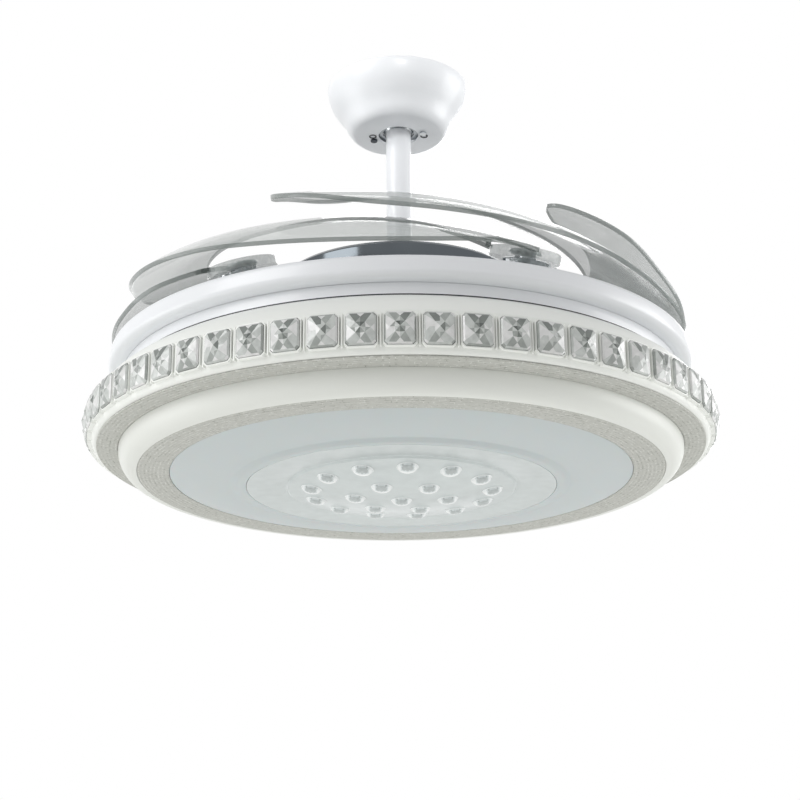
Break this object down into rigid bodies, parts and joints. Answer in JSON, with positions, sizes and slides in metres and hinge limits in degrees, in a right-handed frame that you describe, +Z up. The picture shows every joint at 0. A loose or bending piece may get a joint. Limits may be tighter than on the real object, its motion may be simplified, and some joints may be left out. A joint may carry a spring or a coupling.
{
  "type": "chandelier ceiling fan",
  "caption": "Ceiling fan whose clear blades fold in over a round lamp with a band of square crystals, a frosted diffuser and a plate of domed lenses.",
  "frame": {"origin": "on the ceiling, in the middle of the bracket's upper face, on the fan's axis", "axes": "+Z up along the fan's axis, the fan hanging below the origin; -Y towards the picture's camera, +X to its right"},
  "size_m": [0.5998, 0.5998, 0.4394],
  "materials": {
    "white_paint": "gloss",
    "ivory_paint": "satin",
    "texture_band": "crackled",
    "chrome": "polished",
    "steel": "satin",
    "dark_steel": "blackened",
    "copper": "enamelled",
    "clear_acrylic": "clear",
    "crystal": "clear",
    "frosted": "frosted",
    "lens": "clear",
    "board": "matt",
    "case": "matt",
    "black_plastic": "matt"
  },
  "bodies": {
    "ceiling": {"ceiling_bracket": "steel", "bracket_screw_1": "steel", "bracket_screw_2": "steel", "canopy": "white_paint", "canopy_screw_1": "dark_steel", "canopy_screw_2": "dark_steel", "receiver_box": "black_plastic"},
    "hanger": {"hanger_ball": "steel", "ball_pin": "dark_steel", "downrod": "white_paint", "rod_yoke": "steel", "yoke_bolt": "steel", "yoke_clip": "dark_steel", "motor_shaft": "steel", "stator_core": "dark_steel", "stator_winding": "copper", "upper_bearing": "chrome", "lower_bearing": "chrome", "lamp_hub": "steel", "hub_nut": "steel", "lamp_tray": "white_paint", "crystal_ring_neck": "white_paint", "crystal_ring_frame": "ivory_paint", "crystal_strip": "crystal", "outer_texture_ring": "texture_band", "ivory_step_ring": "ivory_paint", "inner_texture_ring": "texture_band", "diffuser": "frosted", "lens_plate": "lens", "led_board": "board", "led_driver": "case", "tray_screw_1": "steel", "tray_screw_2": "steel", "tray_screw_3": "steel"},
    "rotor": {"motor_cover": "chrome", "rotor_upper_shell": "steel", "rotor_lower_shell": "steel", "magnet_ring": "black_plastic", "blade_carrier": "steel", "pivot_pin_1": "dark_steel", "pivot_pin_2": "dark_steel", "pivot_pin_3": "dark_steel", "pivot_pin_4": "dark_steel", "pivot_pin_5": "dark_steel"},
    "sync": {"sync_plate": "steel"},
    "folding_blade_1": {"blade_1": "clear_acrylic", "blade_holder_1": "chrome", "blade_cap_1": "chrome"},
    "folding_blade_2": {"blade_2": "clear_acrylic", "blade_holder_2": "chrome", "blade_cap_2": "chrome"},
    "folding_blade_3": {"blade_3": "clear_acrylic", "blade_holder_3": "chrome", "blade_cap_3": "chrome"},
    "folding_blade_4": {"blade_4": "clear_acrylic", "blade_holder_4": "chrome", "blade_cap_4": "chrome"},
    "folding_blade_5": {"blade_5": "clear_acrylic", "blade_holder_5": "chrome", "blade_cap_5": "chrome"}
  },
  "joints": [
    {"name": "ball_tilt", "type": "hinge", "parent": "ceiling", "child": "hanger", "pos_m": [0, 0, -0.03575], "axis": [1, 0, 0], "range_deg": [-10, 10]},
    {"name": "rotor_spin", "type": "hinge", "parent": "hanger", "child": "rotor", "pos_m": [0, 0, -0.248], "axis": [0, 0, 1], "continuous": true},
    {"name": "blade_1_swing", "type": "hinge", "parent": "rotor", "child": "folding_blade_1", "pos_m": [0.10919, -0.18172, -0.2615], "axis": [0, 0, 1], "range_deg": [0, 150]},
    {"name": "blade_2_swing", "type": "hinge", "parent": "rotor", "child": "folding_blade_2", "pos_m": [0.20657, 0.04769, -0.2615], "axis": [0, 0, 1], "range_deg": [0, 150]},
    {"name": "blade_3_swing", "type": "hinge", "parent": "rotor", "child": "folding_blade_3", "pos_m": [0.01848, 0.21119, -0.2615], "axis": [0, 0, 1], "range_deg": [0, 150]},
    {"name": "blade_4_swing", "type": "hinge", "parent": "rotor", "child": "folding_blade_4", "pos_m": [-0.19515, 0.08284, -0.2615], "axis": [0, 0, 1], "range_deg": [0, 150]},
    {"name": "blade_5_swing", "type": "hinge", "parent": "rotor", "child": "folding_blade_5", "pos_m": [-0.13908, -0.16, -0.2615], "axis": [0, 0, 1], "range_deg": [0, 150]},
    {"name": "sync_turn", "type": "hinge", "parent": "rotor", "child": "sync", "pos_m": [0, 0, -0.282], "axis": [0, 0, 1], "range_deg": [-20.5, 0.5]}
  ],
  "couplings": [
    {"joint": "blade_2_swing", "follows": "blade_1_swing", "ratio": 1},
    {"joint": "blade_3_swing", "follows": "blade_1_swing", "ratio": 1},
    {"joint": "blade_4_swing", "follows": "blade_1_swing", "ratio": 1},
    {"joint": "blade_5_swing", "follows": "blade_1_swing", "ratio": 1},
    {"joint": "sync_turn", "follows": "blade_1_swing", "ratio": -0.13333}
  ]
}
